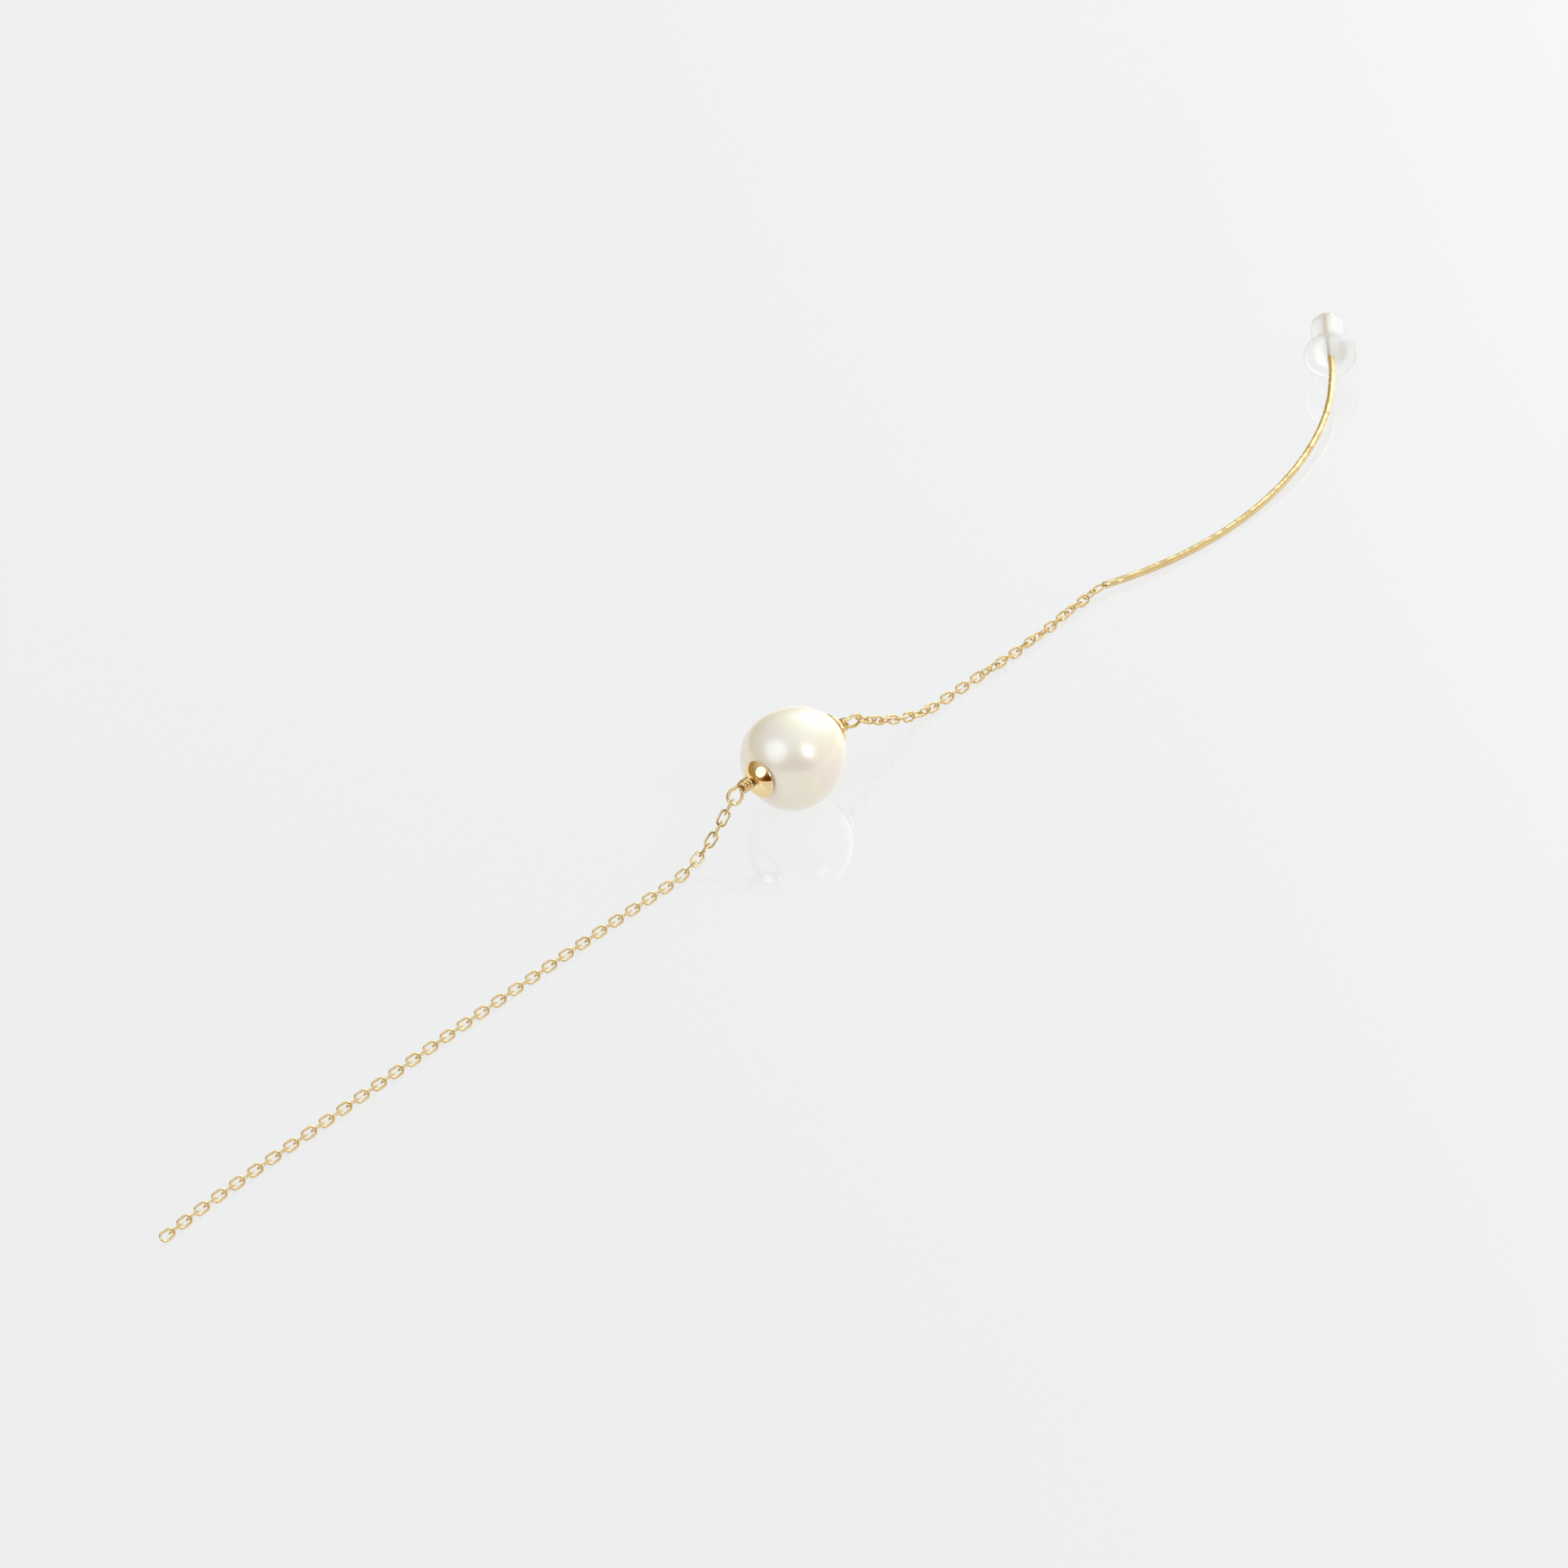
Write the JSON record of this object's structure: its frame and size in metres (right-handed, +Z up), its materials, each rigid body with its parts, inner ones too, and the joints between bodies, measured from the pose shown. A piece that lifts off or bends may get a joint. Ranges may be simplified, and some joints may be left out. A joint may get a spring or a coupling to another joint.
{
  "type": "threader earring",
  "caption": "Threader earring with a bowed ear wire and silicone stopper, fine cable chain and a capped pearl between chains.",
  "frame": {"origin": "on the surface that the earring lies on, under the middle of its whole box", "axes": "+X along the earring from the free end of the long chain to the tip of the ear wire, +Z up from the surface"},
  "size_m": [0.1574, 0.0134, 0.0081],
  "materials": {
    "gold": "polished",
    "pearl": "polished, pearly",
    "silicone": "clear, smooth"
  },
  "bodies": {
    "earring": {"ear_wire": "gold", "chain_short": "gold", "cap_upper": "gold", "pearl": "pearl", "pearl_wire": "gold", "cap_lower": "gold", "chain_long": "gold"},
    "stopper": {"stopper": "silicone"}
  },
  "joints": [
    {"name": "stopper_slide", "type": "slide", "parent": "earring", "child": "stopper", "axis": [0.7712, 0.624, 0.1259], "range_m": [0, 0.0065]}
  ]
}
